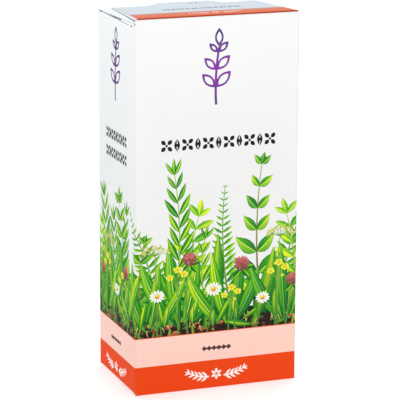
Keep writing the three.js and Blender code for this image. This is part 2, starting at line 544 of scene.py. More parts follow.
PINK = (252, 207, 192)
PINK_LINE = (226, 92, 50)
ORANGE_TOP = 12.8
PINK_TOP = 25.6
VIOLET_ENDS = (92, 70, 126)
VIOLET_MIDDLE = (142, 52, 168)
BLACK = (28, 24, 26)
# A faint painted shade: the walls' paper greys slightly towards the bottom, as if less lit there
LOW_PAINTED_SHADE = (237, 235, 233)
SHADE_FULL_BELOW = 100.0
WHITE_ABOVE = 160.0
LEAF_CORNERS = 12

walls = FoldedSheet(
    (HALF_WIDTH - BOARD, HALF_DEPTH - GLUE_WIDTH, 0), (0, 1, 0), (1, 0, 0),
    GLUE_WIDTH - BEND, (90, BEND), BACK_SPAN - ARC, (90, BEND), SIDE_SPAN - ARC, (90, BEND),
    FRONT_SPAN - ARC, (90, BEND), SIDE_SPAN - ARC + BEND - RIGHT_END,
    begin=-(GLUE_WIDTH - BEND + ARC / 2 + BACK_SPAN + SIDE_SPAN),
)


def leafy_stem_nodes():
    """Leaves in pairs up a drawn stem, and one at its tip, each a flat face of as many corners."""
    tree = bpy.data.node_groups.new("leaves_on_a_stem", "GeometryNodeTree")
    tree.is_modifier = True
    kinds = {"Stem": "Geometry", "Leaves": "Int", "Corners": "Int", "Seed": "Int"}
    kinds.update(dict.fromkeys((
        "Bare Foot", "Stagger", "Leaf Length", "Leaf Width", "Belly", "Droop", "Lean", "Tip Size", "Uneven",
    ), "Float"))
    sockets = {}
    for name, kind in kinds.items():
        socket = tree.interface.new_socket(name, in_out="INPUT", socket_type=f"NodeSocket{kind}")
        sockets[name] = socket.identifier
    tree.interface.new_socket("Leaves", in_out="OUTPUT", socket_type="NodeSocketGeometry")
    given = add_node(tree, "NodeGroupInput").outputs

    # One leaf: a disc drawn out to a point at both ends, with a belly and a drooping tip
    disc = add_node(tree, "GeometryNodeMeshCircle", {"fill_type": "NGON"}, {
        "Vertices": given["Corners"], "Radius": 1.0,
    })
    corner_place = add_node(tree, "GeometryNodeInputPosition").outputs[0]
    spot = add_node(tree, "ShaderNodeSeparateXYZ", values={0: corner_place})
    along = maths(tree, "MULTIPLY_ADD", spot.outputs[0], 0.5, 0.5)
    lens = maths(tree, "MULTIPLY", spot.outputs[1], maths(tree, "ABSOLUTE", spot.outputs[1]))
    full = maths(tree, "MULTIPLY_ADD", given["Belly"], maths(tree, "SUBTRACT", 0.5, along), 1.0)
    half = maths(tree, "MULTIPLY", maths(tree, "MULTIPLY", lens, full), given["Leaf Width"])
    hang = maths(tree, "MULTIPLY", given["Droop"], maths(tree, "POWER", along, 2.0))
    edge = add_node(tree, "ShaderNodeCombineXYZ", values={
        "X": along, "Y": maths(tree, "SUBTRACT", half, hang),
    })
    leaf = add_node(tree, "GeometryNodeSetPosition", values={
        "Geometry": disc.outputs[0], "Position": edge.outputs[0],
    })

    # Leaves down one side of the stem, down the other one, and at its tip
    stem = add_node(tree, "GeometryNodeMeshToCurve", values={"Mesh": given["Stem"]})
    tangent = add_node(tree, "GeometryNodeInputTangent").outputs[0]
    ahead = add_node(tree, "FunctionNodeAlignRotationToVector", {"axis": "X"}, {"Vector": tangent})
    factor = add_node(tree, "GeometryNodeSplineParameter").outputs["Factor"]
    taper = maths(tree, "MULTIPLY_ADD", factor, maths(tree, "SUBTRACT", given["Tip Size"], 1.0), 1.0)
    length = maths(tree, "MULTIPLY", taper, given["Leaf Length"])
    tip = add_node(tree, "GeometryNodeCurveEndpointSelection", values={"Start Size": 0, "End Size": 1})
    joined = add_node(tree, "GeometryNodeJoinGeometry")
    for side, shift in ((1, 0), (-1, 1), (0, 2)):
        foot = maths(tree, "MULTIPLY_ADD", given["Stagger"], float(side < 0), given["Bare Foot"])
        clear = add_node(tree, "GeometryNodeTrimCurve", {"mode": "FACTOR"}, {
            0: stem.outputs[0], 2: foot, 3: 1.0,
        })
        spots = add_node(tree, "GeometryNodeResampleCurve", {"mode": "COUNT"}, {
            "Curve": clear.outputs[0], "Count": given["Leaves"],
        })
        seed = maths(tree, "ADD", given["Seed"], float(shift))
        chance = add_node(tree, "FunctionNodeRandomValue", {"data_type": "FLOAT"}, {
            2: -1.0, 3: 1.0, "Seed": seed,
        })
        change = maths(tree, "MULTIPLY_ADD", chance.outputs[1], given["Uneven"], 1.0)
        lean = maths(tree, "MULTIPLY", maths(tree, "MULTIPLY", given["Lean"], change), float(side))
        turn = add_node(tree, "ShaderNodeCombineXYZ", values={"Z": lean})
        turned = add_node(tree, "FunctionNodeEulerToRotation", values={0: turn.outputs[0]})
        facing = add_node(tree, "FunctionNodeRotateRotation", {"rotation_space": "LOCAL"}, {
            0: ahead.outputs[0], 1: turned.outputs[0],
        })
        size = maths(tree, "MULTIPLY", length, change)
        wide = maths(tree, "MULTIPLY", size, float(side) if side else 1.0)
        scale = add_node(tree, "ShaderNodeCombineXYZ", values={"X": size, "Y": wide, "Z": 1.0})
        placed = add_node(tree, "GeometryNodeInstanceOnPoints", values={
            "Points": spots.outputs[0], "Instance": leaf.outputs[0],
            "Rotation": facing.outputs[0], "Scale": scale.outputs[0],
        })
        if not side:
            link_to(tree, placed, {"Selection": tip.outputs[0]})
        tree.links.new(placed.outputs[0], joined.inputs[0])
    realized = add_node(tree, "GeometryNodeRealizeInstances", values={"Geometry": joined.outputs[0]})
    finished = add_node(tree, "GeometryNodeSetMaterial", values={
        "Geometry": realized.outputs[0], "Material": BOARD_FACES[0],
    })
    add_node(tree, "NodeGroupOutput", values={"Leaves": finished.outputs[0]})
    return tree, sockets


leafy_stem, leafy_sockets = leafy_stem_nodes()


def paper(outline):
    """The walls' background: white above, and greyed below as a faint painted shade."""
    return ink(outline, LOW_PAINTED_SHADE, PAPER, Vector((0, SHADE_FULL_BELOW)), Vector((0, WHITE_ABOVE)))


def leaves_along(stem, **settings):
    """The outlines of the leaves on a drawn stem. Each starts at its leaf's tip."""
    mesh = bpy.data.meshes.new("stem")
    mesh.from_pydata([(p.x, p.y, 0) for p in stem], [(k, k + 1) for k in range(len(stem) - 1)], [])
    drawn = stand("stem", mesh)
    modifier = drawn.modifiers.new("leaves", "NODES")
    modifier.node_group = leafy_stem
    for name, value in settings.items():
        modifier[leafy_sockets[name.replace("_", " ").title()]] = value
    grown = bpy.data.meshes.new_from_object(drawn.evaluated_get(bpy.context.evaluated_depsgraph_get()))
    outlines = [[grown.vertices[k].co.xy for k in sorted(face.vertices)] for face in grown.polygons]
    bpy.data.meshes.remove(grown)
    bpy.data.objects.remove(drawn)
    bpy.data.meshes.remove(mesh)
    return outlines


def leaf_outline(foot, tip, width, corners=LEAF_CORNERS, belly=0.0, bow=0.0):
    """One leaf between two points, in the same order as the leaves of a stem."""
    axis = tip - foot
    side = Vector((-axis.y, axis.x)).normalized() * width / 2
    outline = []
    for k in range(corners):
        turn = 2 * math.pi * k / corners
        along = (1 + math.cos(turn)) / 2
        out = math.sin(turn) * abs(math.sin(turn)) * (1 + belly * (0.5 - along))
        arch = Vector((-axis.y, axis.x)) * bow * 4 * along * (1 - along)
        outline.append(foot + axis * along + side * out + arch)
    return outline


def leaf_band(outline, low, high):
    """The part of a leaf between two shares of its width, from -1 at one edge to 1 at the other."""
    half = len(outline) // 2
    sides = []
    for share in (low, high):
        line = []
        for k in range(1, half):
            rib = (outline[k] + outline[-k]) / 2
            line.append(rib.lerp(outline[k] if share < 0 else outline[-k], abs(share)))
        sides.append(line)
    return [outline[0], *sides[0], outline[half], *reversed(sides[1])]


def paint_leaf(outline, bands, tone=(1, 1, 1), shade=1.0):
    """A leaf in bands of ink, each with its colours at the leaf's foot and tip. A tone shifts the
    inks of the whole leaf, and a shade darkens its foot."""
    foot, tip = outline[len(outline) // 2], outline[0]
    shapes = []
    for low, high, first, second in bands:
        first = [min(255, shade * a * b) for a, b in zip(first, tone)]
        second = [min(255, a * b) for a, b in zip(second, tone)]
        shapes.append(ink(leaf_band(outline, low, high), first, second, foot, tip))
    return shapes


VEIN_WIDTH = 0.22
VEIN_REACH = 0.82


def paint_veins(outline, colour):
    """Side veins from the rib towards the edge."""
    half = len(outline) // 2
    side = Vector((0, VEIN_WIDTH / 2))
    veins = []
    for k in range(2, half):
        rib = (outline[k] + outline[-k]) / 2
        for edge in (outline[k - 1], outline[1 - k]):
            veins.append(ink([rib - side, rib.lerp(edge, VEIN_REACH), rib + side], colour))
    return veins


def drawn_line(points, first_width, last_width, colour, second=None):
    """A line of ink whose width runs evenly from one end to the other."""
    left, right = [], []
    last = len(points) - 1
    for k, point in enumerate(points):
        ahead = (points[min(k + 1, last)] - points[max(k - 1, 0)]).normalized()
        half = (first_width + (last_width - first_width) * k / last) / 2
        left.append(point + Vector((-ahead.y, ahead.x)) * half)
        right.append(point - Vector((-ahead.y, ahead.x)) * half)
    return ink(right + left[::-1], colour, second, points[0], points[-1])


def bowed(start, end, bow, steps=14):
    """Points on a line that bows to its left by a share of its length."""
    start, end = Vector(start), Vector(end)
    axis = end - start
    side = Vector((-axis.y, axis.x)) * bow
    reached = [k / steps for k in range(steps + 1)]
    return [start + axis * share + side * 4 * share * (1 - share) for share in reached]


def heading(turn, squash=1.0):
    """A direction on the sheet, anticlockwise from its right."""
    return Vector((math.cos(turn), math.sin(turn) * squash))


def dot(centre, radius, colour, corners=10, second=None):
    """A round or cornered dot, whose second colour is at its top."""
    centre, up = Vector(centre), Vector((0, radius))
    points = [centre + heading(2 * math.pi * k / corners) * radius for k in range(corners)]
    return ink(points, colour, second, centre - up, centre - up + up * 2)


# The herbs in the print: each kind's leaf, the bands of ink across it and its stem, with the inks
# at the foot and at the tip. A tone shifts all the inks of one leaf.
DEEP, MID, LIVELY, FRESH = (0, 88, 34), (24, 138, 22), (96, 184, 16), (192, 220, 34)
RIB = (222, 238, 130)
TONES = (
    (1, 1, 1), (1.12, 1.06, 0.9), (1.3, 1.1, 0.8), (0.84, 0.96, 1.0), (0.66, 0.88, 1.05), (1.05, 1.03, 1),
)
HERBS = {
    "willow": dict(
        shape=dict(
            leaf_width=0.125, belly=0.3, droop=0.10, lean=0.62, tip_size=0.5, uneven=0.12, stagger=0.05,
            corners=LEAF_CORNERS,
        ),
        bands=(
            (-1, 1, DEEP, MID), (-0.86, 0, MID, LIVELY), (-0.5, -0.1, LIVELY, FRESH),
            (0, 0.8, (8, 116, 34), (66, 162, 24)), (-0.09, 0.07, RIB, FRESH),
        ),
        stem=((120, 160, 40), (160, 200, 60)), veins=None,
    ),
    "mint": dict(
        shape=dict(
            leaf_width=0.23, belly=0.7, droop=0.16, lean=0.95, tip_size=0.42, uneven=0.14, stagger=0.0,
            corners=18,
        ),
        bands=(
            (-1, 1, DEEP, (12, 120, 36)), (-0.88, 0, (56, 158, 22), FRESH),
            (0, 0.84, (8, 112, 38), LIVELY), (-0.06, 0.06, RIB, RIB),
        ),
        stem=((130, 60, 50), (140, 180, 50)), veins=(186, 222, 80),
    ),
    "fern": dict(
        shape=dict(
            leaf_width=0.14, belly=0.6, droop=0.12, lean=1.12, tip_size=0.14, uneven=0.08, stagger=0.012,
            corners=8,
        ),
        bands=((-1, 1, (6, 110, 30), (92, 178, 26)), (-0.9, 0, (80, 174, 20), (184, 218, 44))),
        stem=((90, 120, 30), (130, 190, 40)), veins=None,
    ),
    "ash": dict(
        shape=dict(
            leaf_width=0.18, belly=0.2, droop=-0.08, lean=0.78, tip_size=0.6, uneven=0.16, stagger=0.04,
            corners=LEAF_CORNERS,
        ),
        bands=(
            (-1, 1, (58, 148, 16), (124, 192, 10)), (-0.84, 0, (150, 204, 20), (230, 236, 70)),
            (0, 0.8, (66, 166, 22), (160, 208, 26)), (-0.07, 0.07, (242, 246, 160), FRESH),
        ),
        stem=((130, 150, 30), (180, 206, 60)), veins=None,
    ),
    "shade": dict(bands=((-1, 1, (2, 40, 16), (8, 100, 36)), (-0.8, 0, (8, 84, 26), (60, 150, 24)))),
    "dock": dict(bands=(
        (-1, 1, (0, 80, 32), (14, 120, 32)), (-0.9, 0, (24, 130, 22), (136, 198, 20)),
        (-0.5, -0.12, (84, 172, 18), FRESH), (0, 0.86, (0, 98, 38), (64, 162, 24)),
        (0.1, 0.42, (24, 128, 34), (104, 184, 20)), (-0.05, 0.05, (206, 92, 76), (230, 222, 120)),
    ), veins=(168, 214, 60)),
    "plantain": dict(bands=(
        (-1, 1, (0, 92, 40), (16, 132, 24)), (-0.93, -0.05, (36, 150, 18), (154, 208, 20)),
        (-0.68, -0.36, (106, 188, 14), (212, 230, 48)), (0, 0.92, (0, 110, 44), (58, 164, 16)),
        (0.3, 0.62, (36, 148, 26), (132, 198, 20)), (-0.06, 0.06, (216, 236, 110), (240, 244, 150)),
    )),
}
HERB_FOOT = 24
BARE_FOOT = 0.22
STEM_WIDTHS = (1.1, 0.4)


def paint_herb(kind, foot_u, tip, bow, pairs, length, seed):
    """One standing herb, with pairs of leaves up its stem."""
    herb = HERBS[kind]
    stem = bowed((foot_u, HERB_FOOT), tip, bow)
    outlines = leaves_along(
        stem, leaves=pairs, seed=seed, bare_foot=BARE_FOOT, leaf_length=float(length), **herb["shape"]
    )
    shapes = [drawn_line(stem, *STEM_WIDTHS, *herb["stem"])]
    rng = random.Random(seed)
    for outline in outlines:
        shapes += paint_leaf(outline, herb["bands"], rng.choice(TONES))
        if herb["veins"]:
            shapes += paint_veins(outline, herb["veins"])
    return shapes


# Each kind of flower has a stalk, given as its width and its ink at the foot and at the head
STALKS = {
    "clover": (0.9, 0.6, (70, 130, 50), (130, 170, 80)),
    "daisy": (0.8, 0.5, (60, 120, 44), (120, 170, 70)),
    "umbel": (0.9, 0.5, (70, 130, 44), (150, 180, 70)),
    "buttercup": (0.8, 0.6, (60, 124, 40), (130, 176, 60)),
}
FLORET_RINGS = ((1.0, 17), (0.82, 14), (0.62, 11), (0.42, 8), (0.2, 5))
FLORET_FOOT, FLORET_TIP = (150, 46, 56), (226, 128, 124)
RAYS = 13
RAY_BANDS = ((-1, 1, (196, 200, 176), (236, 236, 224)), (-0.8, 0.55, (232, 230, 206), (254, 253, 248)))
EYE_LOW, EYE_HIGH = (204, 132, 22), (250, 214, 60)
GLINT_LOW, GLINT_HIGH = (246, 196, 48), (255, 238, 120)
SPOKES = 9
SPOKE_GREEN = (120, 160, 60)
CREAM_LOW, CREAM_HIGH = (176, 190, 60), (252, 244, 150)
BUTTERCUPS = ((-1.5, -0.1, 0.9), (1.6, 0.5, 0.95), (0.2, 1.5, 1.0), (1.0, -1.2, 0.4))
FORK_GREEN = (120, 170, 60)
PETAL_BANDS = ((-1, 1, (196, 184, 16), (222, 214, 40)), (-0.75, 0.5, (228, 216, 30), (250, 244, 96)))
HEART_LOW, HEART_HIGH = (170, 160, 20), (236, 226, 90)


def paint_clover(centre, radius, foot, rng):
    """A round head of dull red florets on its own stalk."""
    centre = Vector(centre)
    shapes = [drawn_line(bowed(foot, centre, rng.uniform(-0.06, 0.06)), *STALKS["clover"])]
    under = centre - Vector((0, radius * 0.5))
    for lean in (-2.3, -0.85, 0.2):
        tip = under + heading(lean) * radius * 1.5
        shapes += paint_leaf(leaf_outline(under, tip, radius * 0.7), HERBS["willow"]["bands"][:3])
    for ring, count in FLORET_RINGS:
        for k in range(count):
            out = heading(2 * math.pi * (k + rng.uniform(-0.2, 0.2)) / count, 0.92)
            floret_foot = centre + out * radius * (ring - 0.42)
            floret_tip = centre + out * radius * ring + Vector((0, radius * 0.12))
            shade = rng.uniform(0.82, 1.08) * (0.9 + 0.16 * out.y)
            first = [min(255, c * shade) for c in FLORET_FOOT]
            second = [min(255, c * shade) for c in FLORET_TIP]
            floret = leaf_outline(floret_foot, floret_tip, radius * 0.27, 6)
            shapes.append(ink(floret, first, second, floret_foot, floret_tip))
    return shapes


def paint_daisy(centre, radius, foot, rng):
    """A white-rayed flower on its own stalk."""
    centre = Vector(centre)
    shapes = [drawn_line(bowed(foot, centre, rng.uniform(-0.06, 0.06)), *STALKS["daisy"])]
    for k in range(RAYS):
        out = heading(2 * math.pi * (k + rng.uniform(-0.15, 0.15)) / RAYS, 0.8) * radius
        ray = leaf_outline(centre + out * 0.15, centre + out, radius * 0.36, 8, -0.5)
        shapes += paint_leaf(ray, RAY_BANDS)
    glint = centre + Vector((-0.05, 0.1)) * radius
    shapes.append(dot(centre, radius * 0.3, EYE_LOW, 10, EYE_HIGH))
    shapes.append(dot(glint, radius * 0.14, GLINT_LOW, 7, GLINT_HIGH))
    return shapes


def paint_umbel(centre, radius, foot, rng):
    """A flat-topped head of many small cream flowers on rays."""
    centre = Vector(centre)
    shapes = [drawn_line(bowed(foot, centre, rng.uniform(-0.05, 0.05)), *STALKS["umbel"])]
    for k in range(SPOKES):
        turn = math.pi * (0.1 + 0.8 * k / (SPOKES - 1))
        end = centre + Vector((math.cos(turn) * radius, math.sin(turn) * radius * 0.62))
        shapes.append(drawn_line(bowed(centre, end, 0.06 * math.cos(turn), 5), 0.35, 0.2, SPOKE_GREEN))
        for _ in range(9):
            spot = end + Vector((rng.gauss(0, radius * 0.13), rng.gauss(0.2, radius * 0.10)))
            bright = between(CREAM_LOW, CREAM_HIGH, rng.random())
            shapes.append(dot(spot, radius * rng.uniform(0.05, 0.085), [0.8 * c for c in bright], 6, bright))
    return shapes


def paint_buttercup(centre, radius, foot, rng):
    """Three small yellow flowers of five petals, and a bud, on forked stalks."""
    centre, foot = Vector(centre), Vector(foot)
    fork = centre.lerp(foot, 0.35)
    shapes = [drawn_line(bowed(foot, fork, rng.uniform(-0.06, 0.06)), *STALKS["buttercup"])]
    for across, above, size in BUTTERCUPS:
        middle = centre + Vector((across, above)) * radius
        shapes.append(drawn_line(bowed(fork, middle, 0.08 * across, 6), 0.5, 0.35, FORK_GREEN))
        start = rng.uniform(0, 1)
        for k in range(5):
            out = heading(2 * math.pi * (k + start) / 5, 0.75) * radius * size
            petal = leaf_outline(middle + out * 0.1, middle + out, radius * size * 0.85, 10, -0.9)
            shapes += paint_leaf(petal, PETAL_BANDS)
        shapes.append(dot(middle, 0.24 * radius * size, HEART_LOW, 8, HEART_HIGH))
    return shapes


def paint_dock(foot_u, tip, width, bow):
    """One broad leaf that grows from the ground."""
    leaf = leaf_outline(Vector((foot_u, HERB_FOOT)), Vector(tip), width, 18, 0.25, bow)
    return paint_leaf(leaf, HERBS["dock"]["bands"], shade=0.85) + paint_veins(leaf, HERBS["dock"]["veins"])


def paint_rosette(foot_u, reach, leans):
    """Long ribbed leaves from one crown, each at its own lean in degrees."""
    shapes = []
    for k, degrees in enumerate(leans):
        lean = math.radians(degrees)
        foot = Vector((foot_u + 0.06 * degrees, ROSETTE_FOOT))
        length = reach * (1 - 0.2 * abs(lean)) * (0.88 if k % 2 else 1)
        tip = foot + Vector((math.sin(lean), math.cos(lean))) * length
        leaf = leaf_outline(foot, tip, 0.165 * reach, 16, 0.1, -0.12 * math.sin(lean))
        tone = TONES[(k * 3 + int(foot_u)) % len(TONES)]
        shapes += paint_leaf(leaf, HERBS["plantain"]["bands"], tone, 0.9)
    return shapes


def paint_tufts(first_u, last_u, gaps, rng, count, reach, kinds=("willow", "mint")):
    """Fans of leaves that stand up from the ground, all along the strip."""
    shapes = []
    u = first_u
    while u < last_u:
        for _ in range(count):
            foot = Vector((u + rng.uniform(-3.0, 3.0), rng.uniform(27, 32)))
            lean = rng.gauss(0, 0.5)
            length = reach * rng.uniform(0.55, 1.0)
            tip = foot + Vector((math.sin(lean), math.cos(lean))) * length
            kind = rng.choice(kinds)
            width = length * (0.24 if kind == "willow" else 0.36)
            outline = leaf_outline(foot, tip, width, LEAF_CORNERS, 0.1)
            shapes += paint_leaf(outline, HERBS[kind]["bands"], rng.choice(TONES), 0.8)
        u += rng.uniform(*gaps)
    return shapes


EARTH_FOOT, EARTH_TOP = 22, 36.5
EARTH_STEP = 1.6
EARTH, MOSS = (40, 20, 14), (6, 40, 16)
MOSS_START, MOSS_END = (0, 28), (0, 38)
CLODS_PER_MM = 0.75
CLOD_INKS = (
    ((104, 40, 24), (184, 92, 60)), ((16, 10, 8), (44, 26, 18)), ((126, 56, 34), (206, 130, 84)),
    ((12, 14, 10), (38, 48, 22)), ((24, 12, 10), (84, 38, 26)), ((14, 8, 8), (52, 26, 18)),
)
ROOTLETS_PER_MM = 0.3
ROOTLET = (214, 206, 120)


def paint_ground(low_u, high_u, rng):
    """Dark earth under the herbs, greener towards its ragged top."""
    top = []
    steps = int((high_u - low_u) / EARTH_STEP)
    for k in range(steps + 1):
        u = low_u + (high_u - low_u) * k / steps
        top.append(Vector((u, EARTH_TOP + 2.2 * math.sin(u * 0.21) + rng.uniform(-1.4, 1.8))))
    return [ink([*top, (high_u, EARTH_FOOT), (low_u, EARTH_FOOT)], EARTH, MOSS, MOSS_START, MOSS_END)]


def paint_lumps(low_u, high_u, top, rng):
    """Clods, stones and pale rootlets, from the foot of the print up to a height."""
    shapes = []
    for _ in range(int((high_u - low_u) * CLODS_PER_MM)):
        spot = Vector((rng.uniform(low_u, high_u), rng.uniform(PINK_TOP, top)))
        first, second = rng.choice(CLOD_INKS)
        width = rng.uniform(2.0, 5.0)
        lump = leaf_outline(spot, spot + Vector((width, rng.uniform(-0.5, 0.5))), 0.5 * width, 10)
        shapes.append(ink(lump, first, second, spot - Vector((0, 0.8)), spot + Vector((0, 1.0))))
    for _ in range(int((high_u - low_u) * ROOTLETS_PER_MM)):
        spot = Vector((rng.uniform(low_u, high_u), rng.uniform(top - 2.5, top)))
        end = spot + Vector((rng.uniform(-1.5, 1.5), rng.uniform(-3.2, -2.2)))
        shapes.append(drawn_line(bowed(spot, end, rng.uniform(-0.15, 0.15), 4), 0.45, 0.15, ROOTLET))
    return shapes


# The plants on the front and left walls. Each herb is its kind, where its foot stands, the place
# of its tip, its bow, its pairs of leaves and their length.
STANDING = (
    ("fern", 8, (-5, 80), -0.10, 17, 11.5),
    ("ash", 27, (29, 78), 0.06, 8, 12),
    ("fern", 47, (41, 90), 0.05, 19, 10.5),
    ("willow", 15, (18, 97), -0.05, 10, 15),
    ("fern", 70, (82, 84), 0.10, 17, 11.5),
    ("mint", 60, (58, 99), 0.04, 7, 14),
    ("willow", 37, (32, 68), 0.08, 6, 12),
    ("ash", 73, (70, 76), -0.05, 7, 11.5),
    ("mint", 4, (4, 68), 0.05, 5, 11),
    ("willow", -9, (-11, 78), 0.04, 8, 13),
    ("mint", -18, (-20, 82), -0.05, 7, 16),
    ("willow", -29, (-28, 72), -0.05, 8, 15),
    ("willow", -39, (-41, 80), -0.04, 8, 16),
    ("fern", -47, (-51, 76), 0.06, 17, 11),
)
# Flowers: the painter, the place of the head, its radius and where its stalk starts
HEADS = (
    (paint_clover, (25, 59), 3.6, 24), (paint_umbel, (67, 66), 6.2, 65), (paint_umbel, (9, 62), 5.6, 10),
    (paint_clover, (49, 55), 3.9, 46), (paint_daisy, (10, 44), 3.7, 12), (paint_daisy, (36, 45), 4.0, 33),
    (paint_clover, (73, 46), 3.3, 70), (paint_daisy, (59, 39), 3.5, 56), (paint_buttercup, (19, 52), 2.1, 20),
    (paint_buttercup, (44, 42), 2.0, 43), (paint_buttercup, (66, 51), 2.2, 66),
    (paint_buttercup, (-17, 47), 2.1, -16), (paint_buttercup, (-37, 51), 2.1, -37),
    (paint_umbel, (-34, 60), 6.0, -33), (paint_clover, (-12, 52), 3.6, -10),
    (paint_daisy, (-24, 42), 3.7, -25), (paint_clover, (-43, 47), 3.4, -42),
)
# Broad leaves between the stems: foot, tip, width and bow
BROAD = (
    (31, (38, 70), 7.5, -0.05), (53, (64, 62), 8.5, -0.06), (3, (-3, 60), 7.5, 0.05),
    (66, (76, 54), 7.0, -0.05), (-24, (-33, 62), 8.0, 0.06), (-45, (-38, 64), 8.0, -0.05),
)
# Rosettes of long leaves: place, reach and the leans of the leaves
ROSETTES = (
    (21, 40, (-28, 30, -8, 12)), (43, 36, (-34, 26, -12, 10)), (6, 32, (32, -18, 8)), (70, 34, (-30, 24, -4)),
    (-14, 38, (-26, 28, -6, 10)), (-38, 34, (-30, 26, 2)),
)
# On the other two walls the kinds come by turns: herb, pairs of leaves, flower and its radius
BY_TURNS = (
    ("fern", 19, paint_clover, 3.6), ("willow", 10, paint_daisy, 3.6),
    ("ash", 8, paint_umbel, 5.8), ("mint", 7, paint_buttercup, 2.1),
)
TURN_STEP = 11
TURN_ROSETTE = (-28, 30, -7, 11)
ROSETTE_FOOT = 28
FLOWER_FOOT = 26
MEADOW_SEED = 41


def scattered(start, span, rng):
    """Plants by turns along a wall, in lists like those of the front and left walls."""
    standing, heads, broad, rosettes = [], [], [], []
    for k in range(round(span / TURN_STEP)):
        kind, pairs, painter, radius = BY_TURNS[k % 4]
        foot = start + 6 + TURN_STEP * k + rng.uniform(-2, 2)
        top = rng.uniform(66, 96)
        tip = (foot + rng.uniform(-7, 7), top)
        standing.append((kind, foot, tip, rng.uniform(-0.08, 0.08), pairs, rng.uniform(9.5, 12)))
        head = (foot + rng.uniform(3, 7), rng.uniform(40, 62))
        heads.append((painter, head, radius, foot + 4))
        side = rng.choice((-1, 1))
        tip = (foot + 5 + 8 * side, rng.uniform(50, 68))
        broad.append((foot + 5, tip, rng.uniform(6, 8), -0.06 * side))
        if k % 2 == 1:
            rosettes.append((foot + 2, rng.uniform(32, 40), TURN_ROSETTE))
    return standing, heads, broad, rosettes


def paint_meadow():
    """The whole strip of herbs round the carton, from the back layer to the front one."""
    low_u, high_u = -(SIDE_SPAN + BACK_SPAN), FRONT_SPAN + SIDE_SPAN
    rng = random.Random(MEADOW_SEED)
    shapes = paint_ground(low_u - 2, high_u + 2, rng)
    shapes += paint_tufts(low_u + 4, high_u, (8, 10), rng, 3, 23, ("shade",))
    shapes += paint_lumps(low_u, high_u, 34, rng)
    layers = [list(STANDING), list(HEADS), list(BROAD), list(ROSETTES)]
    for start, span in ((low_u, BACK_SPAN), (FRONT_SPAN, SIDE_SPAN)):
        for layer, more in zip(layers, scattered(start, span, rng)):
            layer += more
    standing, heads, broad, rosettes = layers
    for k, herb in enumerate(standing):
        shapes += paint_herb(*herb, seed=7 * k)
    for leaf in broad:
        shapes += paint_dock(*leaf)
    for rosette in rosettes:
        shapes += paint_rosette(*rosette)
    shapes += paint_lumps(low_u, high_u, 31.5, rng)
    shapes += paint_tufts(low_u + 3, high_u, (9, 13), rng, 2, 14)
    for painter, head, radius, foot_u in heads:
        shapes += painter(head, radius, (foot_u, FLOWER_FOOT), rng)
    return shapes


# The motifs above and below the meadow: a twig, rows of printer's flowers and leafy garlands.
# A leaf of the twig is its step up the stem, its side and its length.
TWIG_LEAVES = (
    (3, -1, 0.27), (3, 1, 0.30), (6, -1, 0.24), (6, 1, 0.27), (9, -1, 0.18), (9, 1, 0.2), (10, 0, 0.25),
)
TWIG_LEAN = 0.80
SMALL_ROW = 3
CREAM = (255, 246, 240)
BROWN = (86, 52, 50)
SIDE_VIOLET = (96, 52, 124)
LINE_BELOW, LINE_ABOVE = 0.12, 0.22
SMALL_ROW_HEIGHT = 18.3
WIDE_MIDDLES = (37.5, -SIDE_SPAN - BACK_SPAN / 2)
NARROW_MIDDLES = (-25.5, FRONT_SPAN + SIDE_SPAN / 2)


def paint_twig(foot, height, stroke, middle_ink):
    """A twig in outline with the stroke of a broad pen, greyer at both ends than in the middle."""
    foot = Vector(foot)
    stem = bowed(foot, foot + Vector((0.04, 0.78)) * height, 0.03, 10)

    def violet(share):
        return between(VIOLET_ENDS, middle_ink, 1 - abs(2 * share - 1))

    shapes = [
        drawn_line(stem[:6], 0.8 * stroke, 0.8 * stroke, violet(0), violet(0.5)),
        drawn_line(stem[5:], 0.8 * stroke, 0.7 * stroke, violet(0.5), violet(0.9)),
    ]
    for step, side, reach in TWIG_LEAVES:
        start = stem[step]
        way = heading(math.pi / 2 - side * TWIG_LEAN)
        length = reach * height
        width = length * 0.5
        outer = leaf_outline(start, start + way * length, width, 16)
        shapes.append(ink(outer, violet(step / 12), violet((step + 2) / 12), outer[8], outer[0]))
        inner_foot = start + way * 1.2 * stroke
        inner_tip = start + way * (length - 1.2 * stroke)
        shapes.append(paper(leaf_outline(inner_foot, inner_tip, width - 1.3 * stroke, 16)))
    return shapes


def paint_row(centre, width, height, colour=BLACK, count=11):
    """A row of printer's flowers: four crossed leaves and an upright leaf by turns. In a small size
    they are lozenges and points."""
    shapes = []
    for k in range(count):
        middle = Vector(centre) + Vector(((k - (count - 1) / 2) * width / count, 0))
        if height < SMALL_ROW:
            radius, corners = (height * 0.2, 8) if k % 2 else (height * 0.5, 4)
            shapes.append(dot(middle, radius, colour, corners))
        elif k % 2:
            half = Vector((0, height / 2))
            leaf = leaf_outline(middle - half, middle + half, 0.5 * height)
            shapes += [ink(leaf, colour), paper(leaf_band(leaf, -0.2, 0.2))]
            shapes.append(dot(middle, 0.13 * height, colour, 8))
        else:
            for quarter in range(4):
                way = heading(math.pi * (0.25 + 0.5 * quarter))
                leaf_foot, leaf_tip = middle + way * 0.13 * height, middle + way * 0.64 * height
                shapes.append(ink(leaf_outline(leaf_foot, leaf_tip, 0.36 * height), colour))
            shapes.append(dot(middle, 0.11 * height, colour, 8))
    return shapes


